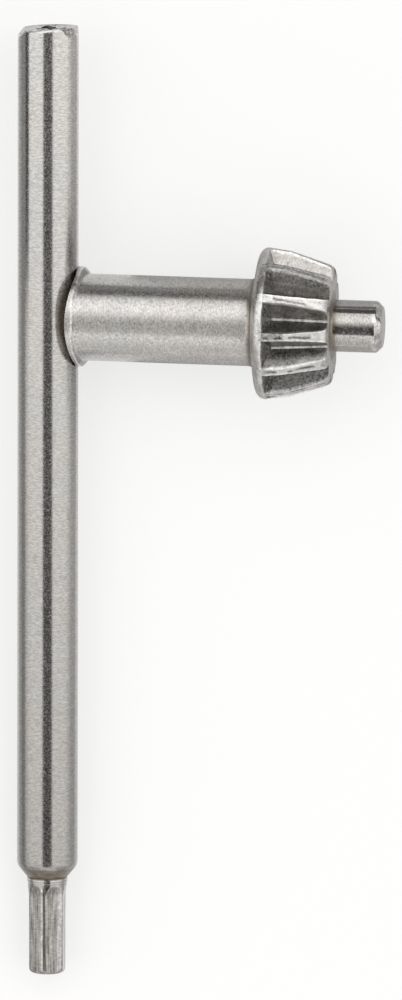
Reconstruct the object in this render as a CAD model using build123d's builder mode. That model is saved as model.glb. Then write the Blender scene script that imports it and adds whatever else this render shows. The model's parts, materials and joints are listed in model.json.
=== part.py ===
from build123d import *
from math import acos, cos, radians, sin, sqrt, tan
import os

# Drill chuck key: a cross bar with a hexagonal pin, and a forged body with a bevel pinion.
# Lengths are in millimetres and angles in degrees. It is modelled with the bar along Y, its pin
# towards -Y and the shank towards +X, and laid on the bench at the end.

# Handle bar
bar_r = 3.5
bar_plain_length = 33.37  # from the shank's axis to the cropped end
bar_pin_length = 64.1  # from the shank's axis to the rim of the shoulder
shoulder_length = 1.45
shoulder_corner_r = 1.2
neck_r = 2.32
neck_length = 0.6
pin_length = 11.3  # neck and hexagon together
pin_blank_r = 2.24  # the turned blank, which leaves a narrow land on each corner
pin_draft = 0.3
pin_end_r = 0.58
hexagon_across_flats = 3.94
flat_count = 6
hexagon_turn = 1.3  # one corner leans this far from straight up, away from the shank
flat_start = 0.9  # from the foot of the shoulder to where the cutter leaves the blank
cutter_r = 5.1

# Cropped end of the bar
crop_rise = 0.14  # the upper edge of the sheared face stands this much above the lower edge
crop_slope_upper = 4.8  # each edge also rises towards the shank, so that the face is twisted
crop_slope_lower = 2.0
bevels = (  # turn from straight up towards the shank, width and height of each rolled-over side
    (-82.6, 0.95, 0.85),
    (86.0, 0.25, 0.6),
)
chip_turn = 53.0  # the chip lies this far from straight up, towards the shank
chip_height = 0.9
chip_depth = 0.28

# Key body, as distances along the shank from the bar's axis
shank_r = 5.0
shank_lean = 0.7  # the welded shank leans this much towards the pin
flange_proud = 0.85  # how far the flange stands out from the shank
flange_crest = 4.08
flare_angle = 50.0
flare_blend_r = 0.5
flange_edge_r = 0.25
flange_top_proud = 0.15  # on its upper side the flange is flatter, and stands out only this much
saddle_r = 18.2
saddle_top = 3.6
weld_r = 2.4

# Bevel pinion
tooth_count = 12
tooth_turn = 13.4  # one tooth space lies this far from straight up, towards the plain end
flank_angle = 40.0
root_width = 0.28
pinion_back = 24.0  # the shank flares in two steps into the back face, which starts here
root_flare_length = 0.55
root_flare_proud = 0.5
root_knee_length = 0.2
root_knee_proud = 0.13
back_face_angle = 10.0
rim_r = 8.75
rim_edge_r = 1.1
rim_land = 0.05  # straight part of the rim, between its round edge and the tooth spaces
tip_knee_length = 2.5
tip_knee_drop = 0.31
tip_cone_angle = 18.0
pinion_front = 32.92
front_edge_r = 0.85
root_start_r = 6.45
root_cone_angle = 7.9
end_wall_lean = 24.0  # the closed end of each space leans back from a radial plane

# Pilot pin
pilot_r = 2.975
pilot_length = 5.81
pilot_root_r = 0.35
pilot_chamfer = 0.7

spare = 1.0  # how far the cutting shapes reach past the metal
settling_turns = 8  # more than enough for the bench to stop moving

lean = radians(shank_lean)
shank_direction = Vector(cos(lean), -sin(lean), 0)
plain_end_direction = Vector(sin(lean), cos(lean), 0)
bar_direction = Vector(0, 1, 0)
bar_plane = Plane(origin=(0, 0, 0), x_dir=(0, 0, 1), z_dir=bar_direction)
shank_plane = Plane(origin=(0, 0, 0), x_dir=plain_end_direction, z_dir=shank_direction)


def corner(sketch, x, y):
    """The sketch corner that lies nearest to a point of the sketch."""
    return sketch.vertices().sort_by_distance((x, y, 0))[0]


def beside_bar(turn):
    """A plane through the bar's axis. Its x points away from the axis, turned from straight up."""
    outward = Vector(sin(radians(turn)), 0, cos(radians(turn)))
    return Plane(origin=(0, 0, 0), x_dir=outward, z_dir=outward.cross(bar_direction))


def lowest_point(centre, axis, ring_r, edge_r, down):
    """The point that a ring with a rounded edge puts on a bench below it."""
    sideways = (down - axis * down.dot(axis)).normalized()
    return centre + sideways * ring_r + down * edge_r


# Handle bar: turned shape, then six milled flats, then the cropped end
shoulder_rim = -bar_pin_length
shoulder_foot = shoulder_rim - shoulder_length
neck_end = shoulder_foot - neck_length
pin_tip = shoulder_foot - pin_length
pin_tip_r = pin_blank_r - pin_length * tan(radians(pin_draft))
crop_spare = bar_r  # stock above the cropped end, removed by the shear
hexagon_r = hexagon_across_flats / 2
sweep = acos(1 - (pin_blank_r - hexagon_r) / cutter_r)
flat_top = shoulder_foot - flat_start
flat_full = flat_top - cutter_r * sin(sweep)
clear_r = pin_blank_r + spare
clear_sweep = acos(1 - (clear_r - hexagon_r) / cutter_r)

with BuildPart() as handle_bar:
    with BuildSketch(Plane.XY) as bar_profile:
        with BuildLine():
            Polyline(
                (bar_r, shoulder_rim),
                (neck_r, shoulder_foot),
                (neck_r, neck_end),
                (pin_blank_r, neck_end),
                (pin_tip_r, pin_tip),
                (0, pin_tip),
                (0, bar_plain_length + crop_spare),
                (bar_r, bar_plain_length + crop_spare),
                (bar_r, shoulder_rim),
            )
        make_face()
        fillet(corner(bar_profile, bar_r, shoulder_rim), shoulder_corner_r)
        fillet(corner(bar_profile, pin_tip_r, pin_tip), pin_end_r)
    revolve(axis=Axis.Y)

    for side in range(flat_count):
        with BuildSketch(beside_bar(-hexagon_turn + (side + 0.5) * 360 / flat_count)):
            with BuildLine():
                RadiusArc(
                    (hexagon_r, flat_full),
                    (clear_r, flat_full + cutter_r * sin(clear_sweep)),
                    cutter_r,
                )
                Polyline(
                    (clear_r, flat_full + cutter_r * sin(clear_sweep)),
                    (clear_r, pin_tip - spare),
                    (hexagon_r, pin_tip - spare),
                    (hexagon_r, flat_full),
                )
            make_face()
        extrude(amount=pin_blank_r, both=True, mode=Mode.SUBTRACT)

    for edge_z, edge_y, slope in (
        (-bar_r, bar_plain_length - crop_rise / 2, crop_slope_lower),
        (bar_r, bar_plain_length + crop_rise / 2, crop_slope_upper),
    ):
        reach = 2 * bar_r
        with BuildSketch(Plane.XY.offset(edge_z)):
            Polygon(
                (-reach, edge_y - reach * tan(radians(slope))),
                (reach, edge_y + reach * tan(radians(slope))),
                (reach, bar_plain_length + 2 * crop_spare),
                (-reach, bar_plain_length + 2 * crop_spare),
                align=None,
            )
    loft(ruled=True, mode=Mode.SUBTRACT)

    for turn, width, height in bevels:
        with BuildSketch(beside_bar(turn)):
            Polygon(
                (bar_r - 2 * width, bar_plain_length + height),
                (bar_r + width, bar_plain_length - 2 * height),
                (bar_r + width, bar_plain_length + height),
                align=None,
            )
        extrude(amount=bar_r, both=True, mode=Mode.SUBTRACT)

    with BuildSketch(beside_bar(chip_turn)):
        Polygon(
            (bar_r + spare, bar_plain_length - chip_height),
            (bar_r, bar_plain_length - chip_height),
            (bar_r - chip_depth, bar_plain_length + chip_height),
            (bar_r + spare, bar_plain_length + chip_height),
            align=None,
        )
    extrude(amount=bar_r, both=True, mode=Mode.SUBTRACT)

# Blank of the forging, standing along Z with the bar's axis at its foot
flange_r = shank_r + flange_proud
root_flare_r = shank_r + root_flare_proud
pilot_end = pinion_front + pilot_length
flare_foot = flange_crest + (flange_r - shank_r) / tan(radians(flare_angle))
flange_top = shank_r + flange_top_proud
flatter_r = (flange_r**2 + flange_top**2) / (2 * flange_top)  # through the top and both sides
back_face_end = pinion_back + (rim_r - root_flare_r) * tan(radians(back_face_angle))
rim_start = back_face_end + rim_edge_r * tan(radians((90 - back_face_angle) / 2))
rim_end = rim_start + rim_land
tip_knee = rim_end + tip_knee_length
tip_knee_r = rim_r - tip_knee_drop
front_r = tip_knee_r - (pinion_front - tip_knee) * tan(radians(tip_cone_angle))

with BuildPart() as blank:
    with BuildSketch(Plane.XZ) as blank_profile:
        with BuildLine():
            Polyline(
                (0, 0),
                (flange_r, 0),
                (flange_r, flange_crest),
                (shank_r, flare_foot),
                (shank_r, pinion_back - root_flare_length),
                (shank_r + root_knee_proud, pinion_back - root_knee_length),
                (root_flare_r, pinion_back),
                (rim_r, back_face_end),
                (rim_r, rim_end),
                (tip_knee_r, tip_knee),
                (front_r, pinion_front),
                (pilot_r, pinion_front),
                (pilot_r, pilot_end - pilot_chamfer),
                (pilot_r - pilot_chamfer, pilot_end),
                (0, pilot_end),
                (0, 0),
            )
        make_face()
        fillet(corner(blank_profile, flange_r, flange_crest), flange_edge_r)
        fillet(corner(blank_profile, shank_r, flare_foot), flare_blend_r)
        fillet(corner(blank_profile, rim_r, back_face_end), rim_edge_r)
        fillet(corner(blank_profile, front_r, pinion_front), front_edge_r)
        fillet(corner(blank_profile, pilot_r, pinion_front), pilot_root_r)
    revolve(axis=Axis.Z)

# One tooth space on the +X side of the blank: a straight V along the root cone, closed at the rim
root_slope = radians(root_cone_angle)
wall_slope = tan(radians(end_wall_lean))
root_start = rim_end + (rim_r - root_start_r) * wall_slope
space_top = rim_r + spare
space_front = pinion_front + spare
root_front_r = root_start_r - (space_front - root_start) * tan(root_slope)
vee_height = space_top - root_front_r
vee_half_width = root_width / 2 + vee_height * tan(radians(flank_angle))
root_plane = Plane(
    origin=(root_start_r, 0, root_start),
    x_dir=(cos(root_slope), 0, sin(root_slope)),
    z_dir=(-sin(root_slope), 0, cos(root_slope)),
)

with BuildPart() as tooth_space:
    with BuildSketch(root_plane):
        Polygon(
            (0, -root_width / 2),
            (vee_height, -vee_half_width),
            (vee_height, vee_half_width),
            (0, root_width / 2),
            align=None,
        )
    extrude(amount=2 * (space_front - root_start), both=True)
    with BuildSketch(Plane.XZ):
        Polygon(
            (root_start_r, root_start),
            (space_top, root_start - (space_top - root_start_r) * wall_slope),
            (space_top, space_front),
            (root_front_r, space_front),
            align=None,
        )
    extrude(amount=vee_half_width, both=True, mode=Mode.INTERSECT)

with BuildPart() as toothed_blank:
    add(blank.part)
    with PolarLocations(0, tooth_count, start_angle=90 - tooth_turn):
        add(tooth_space.part, mode=Mode.SUBTRACT)

# Key body: the toothed forging in its place, dished to a saddle and welded to the bar
with BuildPart() as key_body:
    add(toothed_blank.part.moved(shank_plane.location))
    saddle_centre = shank_direction * (saddle_top - saddle_r)
    with BuildSketch(Plane(origin=saddle_centre, x_dir=(0, 0, 1), z_dir=(0, 1, 0))):
        Circle(saddle_r)
    extrude(amount=2 * flange_r, both=True, mode=Mode.SUBTRACT)
    with BuildSketch(shank_plane):
        Circle(2 * flange_r)
        with Locations((0, flange_top - flatter_r)):
            Circle(flatter_r, mode=Mode.SUBTRACT)
        with Locations((0, -2 * flange_r)):
            Rectangle(4 * flange_r, 4 * flange_r, mode=Mode.SUBTRACT)
    extrude(amount=flare_foot, mode=Mode.SUBTRACT)
    with BuildSketch(shank_plane):
        Circle(weld_r)
    extrude(amount=flange_crest)
    with BuildSketch(bar_plane):
        Circle(bar_r)
    extrude(amount=2 * flange_r, both=True, mode=Mode.SUBTRACT)

# The key comes to rest on the flange, the pinion's rim and the rim of the bar's shoulder. Each
# turn of the loop lays the bench through the lowest points that the last bench gave.
flange_edge = saddle_top - saddle_r + sqrt(saddle_r**2 - flange_r**2)
up = Vector(0, 0, 1)
for settling in range(settling_turns):
    at_flange = lowest_point(shank_direction * flange_edge, shank_direction, flange_r, 0, -up)
    at_pinion = lowest_point(
        shank_direction * rim_start, shank_direction, rim_r - rim_edge_r, rim_edge_r, -up
    )
    at_shoulder = lowest_point(
        bar_direction * (shoulder_rim + shoulder_corner_r),
        bar_direction,
        bar_r - shoulder_corner_r,
        shoulder_corner_r,
        -up,
    )
    up = (at_shoulder - at_flange).cross(at_pinion - at_flange).normalized()

bar_on_bench = (bar_direction - up * bar_direction.dot(up)).normalized()
bench = Plane(origin=at_flange, x_dir=bar_on_bench.cross(up), z_dir=up)

# The origin goes to the middle of the footprint, on the bench
to_bench = bench.location.inverse()
on_bench = [part.moved(to_bench) for part in (handle_bar.part, key_body.part)]
box = Compound(on_bench).bounding_box()
to_origin = Location((-box.center().X, -box.center().Y, 0)) * to_bench

pieces = {"handle_bar": handle_bar.part, "key_body": key_body.part}
os.makedirs("parts", exist_ok=True)
for name, piece in pieces.items():
    placed = piece.moved(to_origin)
    placed.label = name
    export_step(placed, f"parts/{name}.step")
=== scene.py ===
import bpy
import json
import math
import numpy as np
from mathutils import Matrix, Vector, noise
from mathutils.geometry import intersect_line_line

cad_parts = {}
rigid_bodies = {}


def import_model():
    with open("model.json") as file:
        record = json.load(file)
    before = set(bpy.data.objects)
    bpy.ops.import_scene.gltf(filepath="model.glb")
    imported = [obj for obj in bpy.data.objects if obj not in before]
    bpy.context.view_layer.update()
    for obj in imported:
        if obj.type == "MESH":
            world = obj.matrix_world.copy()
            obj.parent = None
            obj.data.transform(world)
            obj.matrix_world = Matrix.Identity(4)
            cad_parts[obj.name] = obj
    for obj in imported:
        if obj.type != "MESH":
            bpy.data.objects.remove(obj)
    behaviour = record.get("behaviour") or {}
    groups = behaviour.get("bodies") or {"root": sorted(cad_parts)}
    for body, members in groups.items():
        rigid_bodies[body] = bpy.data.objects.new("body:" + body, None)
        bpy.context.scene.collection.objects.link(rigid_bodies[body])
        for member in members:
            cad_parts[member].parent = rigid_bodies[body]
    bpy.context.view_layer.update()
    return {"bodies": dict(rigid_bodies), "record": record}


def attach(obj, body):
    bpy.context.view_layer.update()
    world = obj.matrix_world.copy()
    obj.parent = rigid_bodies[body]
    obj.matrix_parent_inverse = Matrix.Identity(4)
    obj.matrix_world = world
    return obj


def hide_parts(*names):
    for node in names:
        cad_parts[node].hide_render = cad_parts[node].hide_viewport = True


# Looks of a drill chuck key lying on a white table. The frame's unit is the metre. Sizes below
# that are read off the CAD model are in millimetres, which MM brings to metres. Turns and the
# slopes of the cropped end are in degrees.
MM = 0.001
full_turn = 2 * math.pi

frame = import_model()

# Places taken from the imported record: the two axes, and the point where they meet
mounts = {mount["name"]: mount for mount in frame["record"]["mounts"]}
pilot_point, shank_axis = (Vector(mounts["pilot"][key]) for key in ("pos_m", "axis"))
bar_point, bar_axis = (Vector(mounts["bar_end"][key]) for key in ("pos_m", "axis"))
junction = intersect_line_line(
    pilot_point, pilot_point + shank_axis, bar_point, bar_point + bar_axis
)[1]
body_up = shank_axis.cross(bar_axis).normalized()

# Handle bar, as places along its axis from the shank's axis
bar_r = 3.5
bar_plain_length = 33.37
shoulder_rim = -64.1
shoulder_length = 1.45
shoulder_foot = shoulder_rim - shoulder_length
shoulder_corner_r = 1.2
neck_r = 2.32
neck_length = 0.6
neck_end = shoulder_foot - neck_length
pin_length = 11.3
pin_tip = shoulder_foot - pin_length
pin_blank_r = 2.24
pin_tip_r = 2.18
pin_end_r = 0.58
hexagon_r = 1.97
hexagon_turn = -1.3
flat_start = 0.9
cutter_r = 5.1
crop_rise = 0.14
crop_slope_upper = 4.8
crop_slope_lower = 2.0
bevels = ((-82.6, 0.95, 0.85), (86.0, 0.25, 0.6))  # turn, width and depth of each
chip_turn = 53.0
chip_height = 0.9
chip_depth = 0.28
lip_drop = 0.1
lip_length = 0.28
crop_zone = 3.0  # length of the side whose rows follow the cropped face
crop_start = bar_plain_length - crop_zone
crop_inset = 0.01
crack_height = -0.9
crack_width = 0.7
crack_depth = 0.5
split_rise = 1.5
split_width = 0.3

# Key body, as places along the shank from the bar's axis
shank_r = 5.0
flange_r = 5.85
flange_top = 5.15
flange_crest = 4.08
first_place = flange_crest - 0.6
crest_dip = 0.85  # the crest lies nearer to the bar on the upper side
flare_foot = 4.79
saddle_r = 13.2  # tighter than the solid's, as the photograph shows the upper edge of the flange
saddle_top = 3.6
weld_r = 2.4
pinion_back = 24.0
root_flare_start = 23.45
root_knee = 23.8
root_knee_r = 5.13
root_flare_r = 5.5
rim_r = 8.75
rim_edge_r = 1.1
back_face_end = 24.573
rim_end = 25.546
tip_knee = 28.046
tip_knee_r = 8.44
front_r = 6.856
pinion_front = 32.92
pilot_r = 2.975
pilot_length = 5.81
pilot_end = pinion_front + pilot_length
pilot_chamfer = 0.7
pilot_fillet = 0.35
face_start_r = 4.6  # sets how many rows the front face has
face_end_r = pilot_r + pilot_fillet
nose_length = 0.9
nose_slope = 0.325
nose_corner_r = 0.85
nose_width = 1.2

# Tooth spaces
tooth_count = 12
tooth_turn = 13.4
tooth_pitch = full_turn / tooth_count
space_starts = math.radians(90 - tooth_turn) + tooth_pitch * np.arange(tooth_count)
root_lean = math.radians(7.9)
flank_lean = math.radians(40.0)
wall_lean = math.radians(24.0)
flank_slope = math.tan(flank_lean) * math.cos(root_lean)
root_slope = math.tan(root_lean)
wall_slope = math.tan(wall_lean)
root_half_width = 0.14
root_start = 26.57
root_start_r = 6.45
teeth_end = pinion_front - 0.62

# Meshes
centre_r = 0.06  # the smallest ring, next to the point that closes an end
sharp_angle = 38.0
back_counts = (12, 8, 18, 8)  # rows of the weld seat, its wall, the saddle and the rim behind it


def rough(points, scale, seed=0.0):
    """Smooth noise from -1 to 1 at each point of an array, with features of 1/scale."""
    flat = np.asarray(points, float).reshape(-1, 3) * scale + seed
    values = [noise.noise(Vector(p)) for p in flat]
    return np.array(values).reshape(np.shape(points)[:-1])


def mottle(points, scale, seed=0.0):
    """The same noise, from 0 to 1."""
    return 0.5 + 0.5 * rough(points, scale, seed)


def bell(distance, width):
    """A bump of height 1 where the distance is 0."""
    return np.exp(-((distance / width) ** 2))


def ramp(value, start, end):
    """0 up to start, 1 from end on, and smooth between them."""
    share = np.clip((value - start) / (end - start), 0, 1)
    return share * share * (3 - 2 * share)


def plateau(value, start, full, fade, end):
    """1 from full to fade, 0 before start and after end, and smooth between them."""
    return ramp(value, start, full) * (1 - ramp(value, fade, end))


def turned_outline(corners):
    """Rows (place along the axis, radius) of a turned outline.

    Each corner is (place, radius, corner radius, row spacing up to the next corner).
    """
    arc_step = math.radians(14)
    rows = []
    last = len(corners) - 1
    for index, (place, radius, round_r, spacing) in enumerate(corners):
        here = np.array((place, radius))
        if 0 < index < last and round_r > 0:
            before = np.array(corners[index - 1][:2]) - here
            after = np.array(corners[index + 1][:2]) - here
            before /= np.linalg.norm(before)
            after /= np.linalg.norm(after)
            half = math.acos(np.clip(before @ after, -1, 1)) / 2
            reach = round_r / math.tan(half)
            start, end = here + before * reach, here + after * reach
            middle = here + (before + after) / np.linalg.norm(before + after) * round_r / math.sin(half)
            turn = math.pi - 2 * half
            steps = max(3, round(turn / arc_step))
            for step in range(steps + 1):
                share = step / steps
                first = math.sin((1 - share) * turn) / math.sin(turn)
                second = math.sin(share * turn) / math.sin(turn)
                rows.append(middle + (start - middle) * first + (end - middle) * second)
        else:
            rows.append(here)
            end = here
        if index < last:
            ahead = np.array(corners[index + 1][:2])
            if 0 < index + 1 < last and corners[index + 1][2] > 0:
                following = np.array(corners[index + 2][:2]) - ahead
                back = end - ahead
                cosine = back @ following / np.linalg.norm(back) / np.linalg.norm(following)
                half = math.acos(np.clip(cosine, -1, 1)) / 2
                ahead = ahead + back / np.linalg.norm(back) * corners[index + 1][2] / math.tan(half)
            count = max(1, math.ceil(np.linalg.norm(ahead - end) / spacing))
            for step in range(1, count):
                rows.append(end + (ahead - end) * step / count)
    return np.array(rows)


def tube(name, frame_axes, form, material, sheared=()):
    """A closed tube through the points of a form, in the frame of its axis.

    Its lay attribute runs from row to row, and straight across the sheared rows.
    """
    place, radius, angle = form.place, form.radius, form.angle
    rows, columns = radius.shape
    local = np.stack((radius * np.cos(angle), radius * np.sin(angle), place), axis=-1)
    ends = np.array(((0, 0, place[0].mean()), (0, 0, place[-1].mean())))
    lay = np.gradient(local, axis=0)
    lay[list(sheared)] = (1, 0, 0)
    lay = np.concatenate((lay.reshape(-1, 3), [(1, 0, 0)] * len(ends))) @ np.array(frame_axes)
    lay /= np.linalg.norm(lay, axis=1, keepdims=True)
    local = np.concatenate((local.reshape(-1, 3), ends)) * MM
    world = local @ np.array(frame_axes) + np.array(junction)
    faces = []
    for row in range(rows - 1):
        for column in range(columns):
            ahead = (column + 1) % columns
            faces.append(
                (
                    row * columns + column,
                    row * columns + ahead,
                    (row + 1) * columns + ahead,
                    (row + 1) * columns + column,
                )
            )
    top = (rows - 1) * columns
    for column in range(columns):
        ahead = (column + 1) % columns
        faces.append((ahead, column, rows * columns))
        faces.append((top + column, top + ahead, rows * columns + 1))
    mesh = bpy.data.meshes.new(name)
    mesh.from_pydata(world.tolist(), [], faces)
    mesh.polygons.foreach_set("use_smooth", [True] * len(faces))
    mesh.set_sharp_from_angle(angle=math.radians(sharp_angle))
    colours = np.zeros((len(local), 4), np.float32)
    colours[:-2] = np.clip(form.finish_and_light(), 0, 1).reshape(-1, 4)
    attribute = mesh.attributes.new("finish_and_light", "FLOAT_COLOR", "POINT")
    attribute.data.foreach_set("color", colours.ravel())
    attribute = mesh.attributes.new("lay", "FLOAT_VECTOR", "POINT")
    attribute.data.foreach_set("vector", lay.ravel())
    piece = bpy.data.objects.new(name, mesh)
    bpy.context.scene.collection.objects.link(piece)
    mesh.materials.append(material)
    return piece


class Shader:
    """Adds nodes to a material or a world, each linked as it is made."""

    def __init__(self, owner):
        owner.use_nodes = True
        self.tree = owner.node_tree
        self.tree.nodes.clear()

    def node(self, kind, inputs=None, **settings):
        made = self.tree.nodes.new(kind)
        for key, value in settings.items():
            setattr(made, key, value)
        for key, value in (inputs or {}).items():
            if isinstance(value, bpy.types.NodeSocket):
                self.tree.links.new(value, made.inputs[key])
            else:
                made.inputs[key].default_value = value
        return made

    def math(self, operation, *values, **settings):
        inputs = dict(enumerate(values))
        return self.node("ShaderNodeMath", inputs, operation=operation, **settings).outputs[0]

    def mix(self, share, first, second):
        inputs = {"Factor": share, "A": first, "B": second}
        made = self.tree.nodes.new("ShaderNodeMix")
        made.data_type = "RGBA"
        for key, value in inputs.items():
            socket = next(s for s in made.inputs if s.name == key and s.enabled)
            if isinstance(value, bpy.types.NodeSocket):
                self.tree.links.new(value, socket)
            else:
                socket.default_value = value
        return next(s for s in made.outputs if s.enabled)

    def span(self, value, start, end, low=0.0, high=1.0):
        inputs = {"Value": value, "From Min": start, "From Max": end, "To Min": low, "To Max": high}
        made = self.node("ShaderNodeMapRange", interpolation_type="SMOOTHSTEP")
        for key, setting in inputs.items():
            if isinstance(setting, bpy.types.NodeSocket):
                self.tree.links.new(setting, made.inputs[key])
            else:
                made.inputs[key].default_value = setting
        return made.outputs[0]

    def grain(self, scale, stretch=(1, 1, 1), detail=2.0, roughness=0.5):
        """Noise in the row frame, with scale in features for each millimetre."""
        place = self.node("ShaderNodeTexCoord").outputs["Object"]
        mapped = self.node("ShaderNodeMapping", {"Vector": place, "Scale": stretch}).outputs[0]
        settings = {"Vector": mapped, "Scale": scale / MM, "Detail": detail, "Roughness": roughness}
        return self.node("ShaderNodeTexNoise", settings).outputs["Fac"]


def grey(level, warmth=0.0):
    """A metal colour from its reflectance, a little warmer than neutral."""
    return (level * (1 + warmth), level, level * (1 - warmth), 1)


# Near black for painted shade: the crack's shadowed recess and the dark line on the pin's corner
painted_shade_colour = grey(0.05)
scale_and_shade_colour = grey(0.13, 0.05)
oxide_colour = (0.15, 0.118, 0.075, 1)
# Bright metal for wear and for painted highlights
wear_and_highlight_colour = grey(0.9, 0.01)


def steel(name, level, roughness, spread, lines, pits, patches):
    """Steel that is worked round its axis.

    Its attribute of four channels adds wear and painted highlights (red), scale and painted shade
    (green), oxide (blue) and polish (alpha). Where scale and oxide meet, the steel takes painted
    near-black shade.
    """
    fine_depth = 0.0022
    material = bpy.data.materials.new(name)
    shader = Shader(material)
    marked = shader.node("ShaderNodeAttribute", attribute_name="finish_and_light")
    wear_and_highlight, scale_and_shade, oxide = shader.node(
        "ShaderNodeSeparateColor", {"Color": marked.outputs["Color"]}
    ).outputs
    polish = marked.outputs["Alpha"]
    lay = shader.node("ShaderNodeAttribute", attribute_name="lay").outputs["Vector"]

    line_noise = shader.grain(1.0, lines["stretch"], detail=3.0, roughness=0.6)
    fine_noise = shader.grain(5.0, lines["fine"], detail=1.0)
    spot_noise = shader.grain(pits["scale"], detail=3.0, roughness=0.6)
    dirt_noise = shader.grain(2.4, detail=4.0, roughness=0.7)
    cloud = shader.grain(0.12)
    spots = shader.span(spot_noise, 0.64, 0.7)
    line_share = shader.math("MULTIPLY", shader.span(line_noise, 0.3, 0.7), lines["tone"])
    spot_share = shader.math("MULTIPLY", spots, pits["tone"])
    fine_share = shader.math("MULTIPLY", shader.span(fine_noise, 0.3, 0.7), lines["grain"])
    patchy = shader.span(dirt_noise, 0.35, 0.65, *patches)
    scale_share = shader.math("MULTIPLY", scale_and_shade, patchy, use_clamp=True)
    thin_wear = shader.span(dirt_noise, 0.3, 0.62, 1.15, 0.45)
    wear_and_highlight_share = shader.math("MULTIPLY", wear_and_highlight, thin_wear, use_clamp=True)

    base = shader.mix(shader.span(cloud, 0.35, 0.65), grey(level, 0.012), grey(level, 0.04))
    base = shader.mix(line_share, base, grey(level * 0.6, 0.03))
    base = shader.mix(fine_share, base, grey(level * 0.4, 0.03))
    base = shader.mix(spot_share, base, grey(level * 0.3, 0.05))
    base = shader.mix(scale_share, base, scale_and_shade_colour)
    base = shader.mix(oxide, base, oxide_colour)
    # Painted shade: where scale and oxide meet, the steel turns near black
    painted_shade_share = shader.span(shader.math("MULTIPLY", scale_and_shade, oxide), 0.4, 0.8)
    base = shader.mix(painted_shade_share, base, painted_shade_colour)
    base = shader.mix(wear_and_highlight_share, base, wear_and_highlight_colour)

    rough_noise = shader.span(spot_noise, 0.35, 0.65, roughness * 0.8, roughness * 1.35)
    dull = shader.math("MULTIPLY_ADD", oxide, 0.15, rough_noise)
    sheen = shader.math("MULTIPLY_ADD", polish, -0.6, 1.0)
    final_rough = shader.math("MULTIPLY", dull, sheen)

    height = shader.math("MULTIPLY", line_noise, lines["depth"])
    height = shader.math("MULTIPLY_ADD", spots, -pits["depth"], height)
    height = shader.math("MULTIPLY_ADD", fine_noise, fine_depth, height)
    bump = shader.node("ShaderNodeBump", {"Strength": 1.0, "Distance": MM, "Height": height})
    surface = shader.node(
        "ShaderNodeBsdfPrincipled",
        {
            "Base Color": base,
            "Metallic": 1.0,
            "Roughness": final_rough,
            "Anisotropic": spread,
            "Tangent": lay,
            "Normal": bump.outputs[0],
        },
    )
    shader.node("ShaderNodeOutputMaterial", {"Surface": surface.outputs[0]})
    return material


def crop_face(across, height):
    """Place of the cropped end's face: sheared with a twist, and rolled over on two sides."""
    share = (height + bar_r) / (2 * bar_r)
    lower = -crop_rise / 2 + across * math.tan(math.radians(crop_slope_lower))
    upper = crop_rise / 2 + across * math.tan(math.radians(crop_slope_upper))
    face = bar_plain_length + lower + (upper - lower) * share
    for turn, width, depth in bevels:
        turn = math.radians(turn)
        outward = across * math.sin(turn) + height * math.cos(turn)
        bevel = bar_plain_length + depth - depth / width * (outward - bar_r + 2 * width)
        face = np.minimum(face, bevel)
    return face


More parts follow.
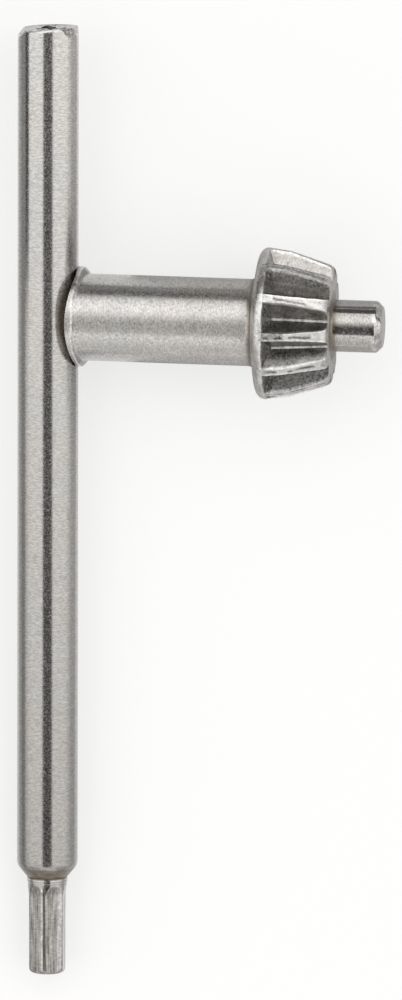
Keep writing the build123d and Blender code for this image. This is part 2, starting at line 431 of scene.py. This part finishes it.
class CrossBar:
    """The cross bar: pin with six milled flats, neck, shoulder, ground bar and cropped end.

    Its place, radius and angle hold a value for each point, in rows round the bar's axis.
    """

    def __init__(self):
        self.lay_rows()
        self.mill_flats()
        self.tear_face()
        self.chip_side()
        self.round_lip()

    def lay_rows(self):
        """Rows of the turned outline and the cropped face, closer on both sides of its rim."""
        columns = 240
        edge_rows = 34
        cap_rows = 60
        outline = turned_outline(
            (
                (pin_tip, centre_r, 0, 0.25),
                (pin_tip, pin_tip_r, pin_end_r, 0.3),
                (neck_end - 2.6, pin_blank_r, 0, 0.07),
                (neck_end, pin_blank_r, 0.03, 0.05),
                (neck_end + 0.02, neck_r, 0.02, 0.06),
                (shoulder_foot, neck_r, 0.12, 0.12),
                (shoulder_rim, bar_r, shoulder_corner_r, 2.0),
                (crop_start, bar_r, 0, 2.0),
            )
        )
        edge_shares = 1 - (1 - np.linspace(0, 1, edge_rows)) ** 1.5
        cap_radii = bar_r - (bar_r - 0.05) * np.linspace(0, 1, cap_rows) ** 1.6
        edge = len(outline) - 1
        self.face_start = edge + edge_rows - 1
        rows = self.face_start + cap_rows
        self.angle = np.tile(np.arange(columns) * full_turn / columns, (rows, 1))
        self.place = np.zeros((rows, columns))
        self.radius = np.zeros((rows, columns))
        self.place[: edge + 1] = outline[:, :1]
        self.radius[: edge + 1] = outline[:, 1:]
        turn = self.angle[0]
        self.rim = crop_face(bar_r * np.sin(turn), bar_r * np.cos(turn))
        for row, share in enumerate(edge_shares, start=edge):
            self.place[row] = crop_start + (self.rim - crop_start) * share
            self.radius[row] = bar_r
        for row, ring in enumerate(cap_radii[1:], start=self.face_start + 1):
            self.place[row] = crop_face(ring * np.sin(turn), ring * np.cos(turn))
            self.radius[row] = ring

    def mill_flats(self):
        """Six flats on the pin, each with the cutter's run-out below the neck."""
        flat_top = shoulder_foot - flat_start
        sweep = math.acos(1 - (pin_blank_r - hexagon_r) / cutter_r)
        flat_full = flat_top - cutter_r * math.sin(sweep)
        climb = np.clip(self.place - flat_full, 0, cutter_r * 0.9)
        flat_r = hexagon_r + cutter_r - np.sqrt(cutter_r**2 - climb**2)
        sixth = math.pi / 3
        first_flat = math.radians(hexagon_turn + 30)
        off_flat = (self.angle - first_flat + sixth / 2) % sixth - sixth / 2
        flat_r = flat_r / np.cos(off_flat)
        self.milled = self.place < neck_end - 0.01
        self.radius = np.where(self.milled & (flat_r < self.radius), flat_r, self.radius)

    def tear_face(self):
        """A crack and a split torn into the cropped face, which is uneven, with painted shade along the
        crack.
        """
        self.across = self.radius * np.sin(self.angle)
        self.height = self.radius * np.cos(self.angle)
        self.spots = np.stack((self.across, self.place, self.height), axis=-1)
        self.on_face = np.zeros((len(self.place), 1))
        self.on_face[self.face_start :] = 1
        self.fade = self.on_face * ramp(bar_r - self.radius, 0.05, 0.5)
        tear = crack_height + 0.35 * np.sin(self.across * 2.1)
        tear = tear + 0.9 * rough(self.spots * (1, 0, 0), 1.3)
        above = self.height - tear
        crack = bell(above, crack_width) * plateau(self.across, -1.9, -1.1, 0.4, 1.2)
        split = bell(above - split_rise, split_width) * plateau(self.across, 0.6, 1.0, 1.8, 2.2)
        self.crack = np.maximum(crack, split)
        # Painted shade in and below the crack, dark where the recess is shadowed
        shade = bell(above + 0.5, 1.0) * plateau(self.across, -1.3, -0.9, 0.5, 0.9)
        self.painted_crack_shade = self.fade * ramp(shade, 0.3, 0.5)
        uneven = 0.12 * (rough(self.spots, 1.6) + 1) + 0.04 * rough(self.spots, 4.0)
        self.place = self.place - crop_inset * (self.place > crop_start)
        self.place = self.place - self.fade * (crack_depth * self.crack + uneven)

    def chip_side(self):
        """The chip takes a rough facet off the side."""
        turn = math.radians(chip_turn)
        outward = self.across * math.sin(turn) + self.height * math.cos(turn)
        chip_foot = bar_plain_length - chip_height
        above = np.clip(self.place - chip_foot, 0, None)
        limit = bar_r - chip_depth * above / (2 * chip_height) - 0.05 * np.minimum(above, 1)
        limit = limit + 0.03 * rough(self.spots, 3.0) * np.minimum(above * 3, 1)
        self.chipped = (above > 0) & (outward > limit)
        facet_r = self.radius * limit / np.maximum(outward, 0.1)
        self.radius = np.where(self.chipped, facet_r, self.radius)

    def round_lip(self):
        """Rounded lip between the side and the cropped face."""
        self.to_rim = np.clip((self.rim - self.place) / lip_length, 0, 1)
        side_r = self.radius - lip_drop * (1 - self.to_rim) ** 2
        face_r = np.minimum(self.radius, bar_r - lip_drop)
        past_rim = np.arange(len(self.place))[:, None] > self.face_start
        self.radius = np.where(past_rim, face_r, side_r)

    def finish_and_light(self):
        """Worn lip and ring edges with painted highlights, the pin's corner with a painted dark line and
        highlight, the pin's upper side painted lighter, tarnish, milled streaks, olive shoulder and
        painted shade in the crack.
        """
        place = self.place
        ragged = mottle(self.spots, 2.2)
        turned_rings = mottle(self.spots * (0.2, 1, 0.2), 5.0)
        streaks = mottle(self.spots * (1, 0.06, 1), 6.0)
        on_cone = ramp(-place, -shoulder_rim - 0.2, -shoulder_rim) * (place > shoulder_foot)
        on_pin = ramp(-place, -neck_end, -neck_end + 0.8)
        tarnish = 0.5 * np.clip((bar_plain_length - place) / (bar_plain_length - pin_tip), 0, 1)
        torn = self.fade * np.maximum(ramp(self.crack, 0.25, 0.6), 0.15 * ragged)
        torn = np.maximum(torn, self.painted_crack_shade)

        # Painted reflection on the pin's upper corner: a dark line, with a highlight on its left
        off_corner = (self.angle - math.radians(hexagon_turn) + math.pi) % full_turn - math.pi
        corner_gap = off_corner * pin_blank_r
        on_corner = on_pin * self.milled * ramp(place - pin_tip, 0.3, 0.7)
        painted_corner_line = 0.95 * on_corner * bell(corner_gap + 0.1, 0.1)
        painted_corner_highlight = on_corner * (0.35 + 0.8 * ragged) * bell(corner_gap + 0.34, 0.14)
        # Painted light: the pin's upper side past the corner is lighter
        painted_light_side = on_pin * ramp(self.across, 1.2, 1.5) * (self.height > 0)

        # Worn lip of the cropped face, with a painted highlight along it
        lip_wear_and_highlight = (1 - self.to_rim) * (1 - self.on_face) * ramp(ragged, 0.1, 0.4)
        lip_wear_and_highlight = lip_wear_and_highlight * (place > crop_start)
        # Worn turned corners of shoulder and neck, with painted highlight lines on them
        ring_wear_and_highlight = bell(place - shoulder_foot + 0.24, 0.06) + bell(place - neck_end - 0.04, 0.05)
        ring_wear_and_highlight += bell(place - shoulder_rim + 0.02, 0.12)
        wear_and_highlight = lip_wear_and_highlight + 0.7 * ring_wear_and_highlight * (0.5 + 0.5 * ragged) + 0.35 * self.fade * (1 - torn)
        wear_and_highlight += 0.9 * painted_corner_highlight + 0.35 * painted_light_side
        scale = tarnish + on_pin * (0.16 + 1.1 * (streaks - 0.5))
        scale = np.maximum.reduce((scale, torn, 0.25 * self.chipped * ragged, painted_corner_line))
        oxide = on_cone * (0.35 + 0.6 * turned_rings * (0.5 + ragged))
        oxide += 0.9 * bell(place - shoulder_foot, 0.12)
        oxide = np.maximum.reduce((oxide, self.painted_crack_shade, painted_corner_line))
        polish = np.full(place.shape, 0.15)
        return np.stack((wear_and_highlight, scale, oxide, polish), axis=-1)


class ForgedKey:
    """The forged key body: saddle, flange, shank, collar, bevel pinion and pilot.

    Its place, radius and angle hold a value for each point, in rows round the shank's axis.
    """

    def __init__(self):
        self.lay_rows()
        self.lay_columns()
        self.cut_spaces()
        self.lay_saddle()
        self.flare_flange()
        self.batter()

    def lay_rows(self):
        """Rows of the turned outline, after empty ones for what lies behind the flange."""
        before = turned_outline(
            (
                (first_place, flange_r, 0, 0.06),
                (flange_crest, flange_r, 0.2, 0.06),
                (flare_foot, shank_r, 0.4, 1.0),
                (root_flare_start, shank_r, 0.6, 0.1),
                (root_knee, root_knee_r, 0.12, 0.1),
                (pinion_back, root_flare_r, 0.06, 0.2),
                (back_face_end, rim_r, rim_edge_r, 0.04),
                (rim_end, rim_r, 0, 1),
            )
        )
        wall = np.linspace(rim_end, root_start, 12)[1:]
        teeth = np.linspace(root_start, teeth_end, 40)[1:]
        toothed = np.concatenate((wall, teeth))
        tip = np.where(
            toothed < tip_knee,
            rim_r - (rim_r - tip_knee_r) * (toothed - rim_end) / (tip_knee - rim_end),
            tip_knee_r - (tip_knee_r - front_r) * (toothed - tip_knee) / (pinion_front - tip_knee),
        )
        toothed = np.stack((toothed, tip), axis=-1)
        nose = turned_outline(
            (
                (pinion_front - nose_length, front_r + nose_length * nose_slope, 0, 1),
                (pinion_front, front_r, nose_corner_r, 1),
                (pinion_front, front_r - nose_width, 0, 1),
            )
        )[2:-1]
        self.spaced = np.concatenate((toothed, nose))
        after = turned_outline(
            (
                (pinion_front, face_start_r, 0, 0.3),
                (pinion_front, pilot_r, pilot_fillet, 0.5),
                (pilot_end - pilot_chamfer, pilot_r, 0.3, 0.12),
                (pilot_end, pilot_r - pilot_chamfer, 0.3, 0.3),
                (pilot_end, centre_r, 0, 0.3),
            )
        )
        behind = np.zeros((sum(back_counts), 2))
        rows = np.concatenate((behind, before, self.spaced, after))
        self.place, self.radius = rows[:, :1], rows[:, 1:]

        # Rows of the front face, which come down from the outline of the teeth
        self.face_first = len(rows) - len(after)
        self.face_count = int(np.sum(after[:, 1] > face_end_r + 0.01))

    def lay_columns(self):
        """Columns that follow the edges of each tooth space from row to row."""
        along = np.clip(self.place, rim_end, pinion_front)
        self.root_r = root_start_r - (along - root_start) * root_slope
        self.wall_r = root_start_r + (root_start - along) / wall_slope
        self.tip_r = np.interp(along, self.spaced[:, 0], self.spaced[:, 1])
        self.tip_r[self.place <= rim_end] = rim_r

        # Across the shank, a flank is the line y = flank_slope * x - level, where x runs outward
        # along the middle of the space
        self.level = self.root_r * flank_slope - root_half_width

        def flank_turn(ring):
            steep = math.hypot(flank_slope, 1)
            return np.arccos(np.clip(self.level / (ring * steep), -1, 1)) - math.atan(1 / flank_slope)

        edge_turn = flank_turn(np.maximum(self.tip_r, self.root_r + 0.2))
        floor_r = np.maximum(self.root_r, np.minimum(self.wall_r, self.tip_r - 0.02))
        foot_turn = flank_turn(floor_r)
        foot_turn = np.clip(foot_turn, root_half_width / self.root_r * 0.98, edge_turn * 0.97)

        # Columns of half a pitch: the root's floor, the flank up to its edge, and half a land
        floor_columns = 3
        to_edge = np.array((0, 0.04, 0.25, 0.45, 0.65, 0.86, 0.97))
        to_land = 1 - (1 - np.linspace(0, 1, 7)) ** 0.7
        floor = foot_turn * np.arange(floor_columns) / floor_columns
        flank = foot_turn + (edge_turn - foot_turn) * to_edge
        land = edge_turn + (tooth_pitch / 2 - edge_turn) * to_land
        half = np.concatenate((floor, flank, land), axis=1)
        whole = np.concatenate((half, tooth_pitch - half[:, -2:0:-1]), axis=1)
        self.from_start = np.tile(whole, (1, tooth_count))
        self.from_space = np.minimum(self.from_start, tooth_pitch - self.from_start)
        self.edge_turn = edge_turn
        self.angle = self.from_start + np.repeat(space_starts, whole.shape[1])
        self.place = np.tile(self.place, (1, self.angle.shape[1]))
        self.radius = np.tile(self.radius, (1, self.angle.shape[1]))

        # Ragged outline of the lands
        direction = np.stack((np.cos(self.angle) * 8, np.sin(self.angle) * 8, self.place), axis=-1)
        wander = rough(direction, 1.7) * 0.006 + rough(direction, 4.5) * 0.003
        full, fade = rim_end + 0.6, pinion_front - 0.3
        self.in_teeth = plateau(self.place, rim_end + 0.1, full, fade, pinion_front)
        side = np.where(self.from_start < tooth_pitch / 2, 1.0, -1.0)
        near_edge = bell((self.from_space - edge_turn) * 8, 0.25)
        self.angle = self.angle + side * wander * near_edge * self.in_teeth

    def cut_spaces(self):
        """Depth of the tooth spaces, and the front face from their outline down to the pilot."""
        cosine = np.cos(self.from_space)
        flank = self.level / np.maximum(cosine * flank_slope - np.sin(self.from_space), 1e-3)
        self.bottom = np.maximum(np.maximum(self.root_r / cosine, flank), self.wall_r / cosine)
        along_teeth = (self.place >= rim_end) & (self.place <= pinion_front)
        within = along_teeth & (self.from_space < self.edge_turn * 1.001)
        within[self.face_first :] = False
        self.cut = within & (self.bottom < self.radius)
        self.radius = np.where(self.cut, self.bottom, self.radius)
        front_rim = self.radius[self.face_first - 1]
        for step in range(self.face_count):
            share = (step + 1) / (self.face_count + 1)
            self.radius[self.face_first + step] = front_rim * (1 - share) + face_end_r * share

    def lay_saddle(self):
        """Rows behind the flange: the weld seat, its wall, the saddle and the back of the rim."""
        turn = self.angle[0]
        seat_count, wall_count, saddle_count, rim_count = back_counts

        def seat(ring):
            return np.sqrt(bar_r**2 - (ring * np.sin(turn)) ** 2) - 0.04

        def saddle(ring):
            return saddle_top - saddle_r + np.sqrt(saddle_r**2 - (ring * np.sin(turn)) ** 2)

        # The flange is flatter on its upper side, inside a larger circle that sits lower
        flatter_r = (flange_r**2 + flange_top**2) / (2 * flange_top)
        drop = flatter_r - flange_top
        self.upward = np.maximum(np.sin(self.angle), 0)
        self.flange_limit = np.sqrt(flatter_r**2 - drop**2 * (1 - self.upward**2))
        self.flange_limit = self.flange_limit - drop * self.upward
        flange_edge = self.flange_limit[0]
        rows = []
        for ring in centre_r + (weld_r - centre_r) * np.linspace(0, 1, seat_count):
            rows.append((seat(ring), ring))
        low, high = seat(weld_r), saddle(weld_r)
        for step in range(wall_count):
            share = (step + 1) / (wall_count + 1)
            rows.append((low + (high - low) * share, weld_r - 0.12 * math.sin(math.pi * share)))
        for ring in weld_r + (flange_r - weld_r) * np.linspace(0, 1, saddle_count):
            share = (ring - weld_r) / (flange_r - weld_r)
            saddle_edge = weld_r + (flange_edge - weld_r) * share
            rows.append((saddle(saddle_edge), saddle_edge))
        rim_back = rows[-1][0]
        for step in range(rim_count):
            share = (step + 1) / (rim_count + 1)
            rows.append((rim_back + (first_place - 0.06 - rim_back) * share, flange_edge))
        for row, (place, radius) in enumerate(rows):
            self.place[row] = place
            self.radius[row] = radius

    def flare_flange(self):
        """The flange's uneven crest, and the flare from it down to the shank."""
        turned = np.stack((np.cos(self.angle), np.sin(self.angle), self.place * 0), axis=-1)
        crest = flange_crest - crest_dip * self.upward
        self.crest = crest + 0.05 * rough(turned, 7.0) + 0.03 * rough(turned, 17.0)
        flare_slope = (flange_r - shank_r) / (flare_foot - flange_crest)
        flare = self.flange_limit - np.maximum(self.place - self.crest, 0) * flare_slope
        flare = np.minimum(self.radius, np.maximum(flare, shank_r))
        self.radius = np.where(self.place < flare_foot + 0.5, flare, self.radius)

    def batter(self):
        """Battered surfaces: burred land edges, dented lands and rim, and an uneven flange."""
        place, radius = self.place, self.radius
        self.spots = np.stack((radius * np.cos(self.angle), radius * np.sin(self.angle), place), axis=-1)
        self.coarse = rough(self.spots, 1.1)
        fine = rough(self.spots, 3.2)
        self.land = self.in_teeth * (self.from_space >= self.edge_turn * 0.999)
        self.land = self.land * (1 - ramp(place, pinion_front - 0.7, pinion_front))
        self.edge_gap = np.abs(self.from_space - self.edge_turn) * radius
        self.burr = bell(self.edge_gap, 0.12) * self.in_teeth
        dent = 0.03 + 0.025 * self.coarse + 0.02 * fine
        radius = radius - self.land * dent * (1 - self.burr)
        inside = self.cut & ~(self.bottom > self.tip_r - 0.05)
        radius = radius + inside * 0.012 * fine
        flange_zone = bell(radius - flange_r, 0.3) * (place < flare_foot)
        radius = radius - flange_zone * (0.04 + 0.03 * self.coarse)
        rim_zone = bell(place - rim_end, 0.5) * (radius > 8)
        radius = radius - rim_zone * (0.03 + 0.025 * self.coarse) * (1 - 0.6 * self.burr)
        self.ragged_rim = 0.04 * fine + 0.025 * rough(self.spots, 8.0)
        near_rim = bell(place - rim_end + 0.12, 0.25) * (radius > 8)
        self.radius = radius - near_rim * (0.03 - self.ragged_rim)

    def finish_and_light(self):
        """Worn metal and painted highlights, scale and painted shade, oxide and polish, and the noise
        and marks that they share.
        """
        sunlit_start = space_starts[-2]
        self.speck = mottle(self.spots, 5.0)
        self.patch = mottle(self.spots, 0.8, 7.0)
        # Painted light: one tooth space counts as sunlit, and the land beside it is painted lighter,
        # with fewer marks
        self.sunlit = bell(self.angle - sunlit_start, 0.25)
        self.painted_lit_land = bell(self.angle - sunlit_start - tooth_pitch / 2, 0.15)
        burr_width = np.where(self.from_space > self.edge_turn, 0.16, 0.08)
        self.worn_burr = np.minimum(1.5 * bell(self.edge_gap, burr_width), 1)
        self.worn_burr = self.worn_burr * self.in_teeth * (0.85 + 0.3 * self.speck)

        # Thin broken dark marks along the lands: partly scale marks, partly painted shade of their
        # ragged edges
        off_centre = (self.from_start - tooth_pitch / 2) * self.radius
        sway = 0.1 + 0.3 * rough(self.spots * (0.5, 0.5, 0.4), 1.0, 11.0)
        broken = ramp(rough(self.spots * (0.4, 0.4, 1), 0.9, 3.0), -0.15, 0.0)
        self.dash = np.minimum(1.5 * bell(off_centre - sway, 0.15) * broken, 1)
        self.dash = self.dash * (1 - 0.6 * self.painted_lit_land)
        polish = ramp(self.place, pinion_front, pinion_front + 0.6)
        return np.stack((self.wear_and_highlight(), self.scale(), self.oxide(), polish), axis=-1)

    def wear_and_highlight(self):
        """Worn metal: burrs, lands, the rims and the edges of flange and pilot, and painted light on the
        flanks of the sunlit space and on the land beside it.
        """
        place, radius = self.place, self.radius
        on_rim = radius > rim_r - 0.8
        land_wear_and_highlight = self.land * (0.35 + 0.4 * self.patch + 0.5 * self.painted_lit_land) * (1 - self.dash)
        wall_edge = bell(place - rim_end, 0.1) * on_rim * np.clip(0.7 + 6 * self.ragged_rim, 0, 1)
        rim_back = 0.8 * ramp(place, back_face_end + 0.1, rim_end) * on_rim
        rim_back = rim_back * ramp(self.speck, 0.3, 0.6) * (place < rim_end)
        crest_gap = (place - self.crest) / (0.4 + 0.6 * self.upward)
        crest_edge = bell(crest_gap, 0.14) * (radius > shank_r - 0.05)
        crest_edge = crest_edge * (place < flare_foot) * (0.75 + 0.35 * self.speck)
        root_line = 0.35 * bell(self.from_space * radius, 0.18) * self.cut * (place > root_start)
        pilot_edge = 0.8 * bell(place - pilot_end + 0.75, 0.22) * ramp(self.coarse, -0.1, 0.25)
        pilot_edge = pilot_edge * (radius < 3)
        sunlit_flank = 0.35 * self.sunlit * self.cut
        edges = (self.worn_burr, wall_edge, rim_back, crest_edge, pilot_edge)
        return np.maximum.reduce((*edges, land_wear_and_highlight, root_line, sunlit_flank))

    def scale(self):
        """Scale: the spaces, the marks on the lands with their painted shade, the flange, the rim's back
        and the pilot.
        """
        place = self.place
        streak = mottle(self.spots * (1, 1, 0.15), 3.5)
        flank = self.cut * (0.3 + 0.55 * self.patch + 0.4 * streak + 0.2 * (place < root_start))
        flank = flank * (1 - self.worn_burr) * (1 - 0.85 * self.sunlit)
        marks = 0.95 * self.land * self.dash * (1 - self.burr)
        big_end = 0.8 * self.land * (1 - ramp(place, 26.6, 27.6)) * ramp(self.patch, 0.35, 0.6)
        big_end = big_end * (1 - self.burr)
        flare = 0.55 * (place < flare_foot) * (place > self.crest)
        flare = flare * ramp(self.radius, shank_r, shank_r + 0.2)
        rim_back = 0.45 * self.patch * (place > pinion_back) * (place < rim_end)
        pilot = 0.3 * (place > pinion_front + 0.3)
        return np.maximum.reduce((flank, marks, big_end, flare, rim_back, pilot))

    def oxide(self):
        """Oxide: the two corners of the pinion, the gap behind the flange and a warm tint on the painted
        sunlit space.
        """
        place, radius = self.place, self.radius
        corner = bell(place - pinion_back + 0.2, 0.35) * (radius < root_flare_r + 0.3)
        corner = corner * (0.4 + 0.5 * self.patch)
        pilot = 0.75 * bell(place - pinion_front - 0.25, 0.45) * (radius < pilot_r + 0.9)
        rim_first = sum(back_counts[:-1])
        in_gap = (place < flange_crest) * (np.arange(len(place))[:, None] < rim_first)
        gap = 0.85 * in_gap * (1 - ramp(radius, 3.9, 4.7))
        return np.maximum.reduce((corner, pilot, gap, 0.25 * self.sunlit * self.cut))


def add_floor():
    """A wide white table top under the key."""
    half = 60.0
    whitening = 0.65
    mesh = bpy.data.meshes.new("floor")
    corners = [(-half, -half, 0), (half, -half, 0), (half, half, 0), (-half, half, 0)]
    mesh.from_pydata(corners, [], [(0, 1, 2, 3)])
    floor = bpy.data.objects.new("floor", mesh)
    bpy.context.scene.collection.objects.link(floor)
    material = bpy.data.materials.new("white_table")
    shader = Shader(material)
    surface = shader.node(
        "ShaderNodeBsdfPrincipled",
        {"Base Color": (0.97, 0.97, 0.97, 1), "Roughness": 0.9, "Specular IOR Level": 0.1},
    )

    # Where it is seen, the paper is near white, and the key's shadow on it is soft
    rays = shader.node("ShaderNodeLightPath").outputs
    seen = shader.math("MAXIMUM", rays["Is Camera Ray"], rays["Is Glossy Ray"])
    seen = shader.math("MAXIMUM", seen, rays["Is Transmission Ray"])
    share = shader.math("MULTIPLY", seen, whitening)
    white = shader.node("ShaderNodeEmission", {"Color": (1, 1, 1, 1), "Strength": 1.0})
    mixed = shader.node("ShaderNodeMixShader", {0: share, 1: surface.outputs[0], 2: white.outputs[0]})
    shader.node("ShaderNodeOutputMaterial", {"Surface": mixed.outputs[0]})
    mesh.materials.append(material)


def add_card(name, level, corners):
    """One grey card that only the steel mirrors."""
    mesh = bpy.data.meshes.new(name)
    mesh.from_pydata([tuple(Vector(corner) * MM) for corner in corners], [], [(0, 1, 2, 3)])
    card = bpy.data.objects.new(name, mesh)
    bpy.context.scene.collection.objects.link(card)
    material = bpy.data.materials.new(name)
    shader = Shader(material)
    surface = shader.node("ShaderNodeBsdfPrincipled", {"Base Color": grey(level), "Roughness": 0.9})
    shader.node("ShaderNodeOutputMaterial", {"Surface": surface.outputs[0]})
    mesh.materials.append(material)
    card.visible_camera = False
    card.visible_diffuse = False
    card.visible_shadow = False


def add_cards():
    """What the steel mirrors beyond the white paper, and painted shade: grey cards on the paper beside
    the key, seen only in the steel.
    """
    paper_end = -31.5
    lying = (
        ("far_card", 0.2, (-80, 120), (61, 400), 0.3),
        ("left_card", 0.35, (-110, paper_end), (-90, 90), 0.3),
        # Painted shade: these two grey sheets on the paper stand in for the key's shade there, and only
        # the steel mirrors them
        ("left_shade_card", 0.6, (paper_end, -26), (-90, 90), 0.05),
        ("right_shade_card", 0.66, (-8, 70), (-90, 60), 0.05),
    )
    for name, level, (left, right), (near, far), height in lying:
        near_side = ((left, near, height), (right, near, height))
        far_side = ((right, far, height), (left, far, height))
        add_card(name, level, near_side + far_side)
    standing_at, near, far, foot, top = -62, 20, 120, 4.5, 17.5
    lower_side = ((standing_at, near, foot), (standing_at, far, foot))
    upper_side = ((standing_at, far, top), (standing_at, near, top))
    add_card("upright_card", 0.08, lower_side + upper_side)


def add_world():
    """A white light tent round the key, with a gap overhead for the camera."""
    tent_level = 1.52
    tent_colour = (1.0, 0.99, 0.975, 1)
    glow_level = 0.22
    world = bpy.data.worlds.new("light_tent")
    bpy.context.scene.world = world
    shader = Shader(world)
    direction = shader.node("ShaderNodeTexCoord").outputs["Generated"]
    x, y, z = shader.node("ShaderNodeSeparateXYZ", {"Vector": direction}).outputs
    across = shader.math("DEGREES", shader.math("ARCTAN2", x, z))
    along = shader.math("DEGREES", shader.math("ARCTAN2", y, z))

    def window(value, low, high, low_soft, high_soft):
        rise = shader.span(value, low - low_soft, low + low_soft)
        fall = shader.span(value, high - high_soft, high + high_soft, 1.0, 0.0)
        return shader.math("MULTIPLY", rise, fall)

    # The gap is dark, the paper ends at the far side, and the tent is dimmer near the lens
    overhead = window(across, -18.5, 17.2, 2.6, 2.6)
    gap = shader.math("MULTIPLY", overhead, window(along, -34, 15, 4.0, 20.0))
    far_dark = shader.span(along, 64, 69)
    near_dim = shader.span(along, -80, -30, 0.45, 0.15)
    sideways, lengthways = (
        shader.span(shader.math("ABSOLUTE", side), 0.35, 0.6) for side in (x, y)
    )
    corners = shader.math("MULTIPLY", sideways, lengthways)
    glow = shader.math("MULTIPLY", window(along, 12, 50, 8.0, 8.0), glow_level)

    level = shader.math("MULTIPLY", shader.math("ADD", 1.0, glow), tent_level)
    level = shader.math("MULTIPLY", level, shader.math("SUBTRACT", 1.0, near_dim))
    for mask, strength in ((gap, 0.96), (far_dark, 0.9), (corners, 0.45)):
        kept = shader.math("MULTIPLY_ADD", mask, -strength, 1.0)
        level = shader.math("MULTIPLY", level, kept)
    background = shader.node("ShaderNodeBackground", {"Color": tent_colour, "Strength": level})
    shader.node("ShaderNodeOutputWorld", {"Surface": background.outputs[0]})


def add_camera():
    """A long lens looking down on the key, as in the photograph."""
    pitch, yaw, roll = (math.radians(angle) for angle in (8.05, -0.284, 0.161))
    distance = 1700.0
    scale = 8.709  # pixels for each millimetre at the target
    frame_height = 1000
    centre_shift = (0.1, 5.83)  # pixels from the target to the middle of the frame
    target = Vector((0, 0, 8))
    back = Vector((math.sin(yaw) * math.cos(pitch), math.sin(pitch), math.cos(pitch) * math.cos(yaw)))
    up = (Vector((0, 1, 0)) - back * back.y).normalized()
    right = up.cross(back)
    turned_right = right * math.cos(roll) + up * math.sin(roll)
    turned_up = up * math.cos(roll) - right * math.sin(roll)
    target += turned_right * centre_shift[0] / scale + turned_up * centre_shift[1] / scale
    camera = bpy.data.objects.new("camera", bpy.data.cameras.new("camera"))
    camera.data.sensor_width = 36.0
    camera.data.lens = camera.data.sensor_width * distance * scale / frame_height
    camera.data.clip_end = 100.0
    rotation = Matrix((turned_right, turned_up, back)).transposed().to_4x4()
    camera.matrix_world = Matrix.Translation((target + back * distance) * MM) @ rotation
    bpy.context.scene.collection.objects.link(camera)
    bpy.context.scene.camera = camera


bar_steel = steel(
    "ground_bar_steel",
    level=0.64,
    roughness=0.25,
    spread=0.75,
    lines={
        "stretch": (0.3, 2.4, 0.3),
        "fine": (0.4, 1.6, 0.4),
        "tone": 0.2,
        "grain": 0.5,
        "depth": 0.0007,
    },
    pits={"scale": 5.0, "tone": 0.3, "depth": 0.003},
    patches=(0.85, 1.1),
)
forged_steel = steel(
    "forged_key_steel",
    level=0.68,
    roughness=0.31,
    spread=0.7,
    lines={
        "stretch": (1.4, 0.7, 0.7),
        "fine": (1.4, 0.7, 0.7),
        "tone": 0.3,
        "grain": 0.5,
        "depth": 0.001,
    },
    pits={"scale": 3.6, "tone": 0.75, "depth": 0.006},
    patches=(0.65, 1.1),
)
bar = CrossBar()
bar_axes = (tuple(body_up), tuple(bar_axis.cross(body_up)), tuple(bar_axis))
cropped_rows = range(bar.face_start, len(bar.place))
key_axes = (tuple(body_up.cross(shank_axis)), tuple(body_up), tuple(shank_axis))
root_body = next(iter(frame["bodies"]))
for piece, node, slot in (
    (tube("cross_bar", bar_axes, bar, bar_steel, cropped_rows), "handle_bar", "bar_steel"),
    (tube("forged_key", key_axes, ForgedKey(), forged_steel), "key_body", "forged_steel"),
):
    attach(piece, root_body)
    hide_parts(node)

add_floor()
add_cards()
add_world()
add_camera()
bpy.context.scene.view_settings.view_transform = "Standard"
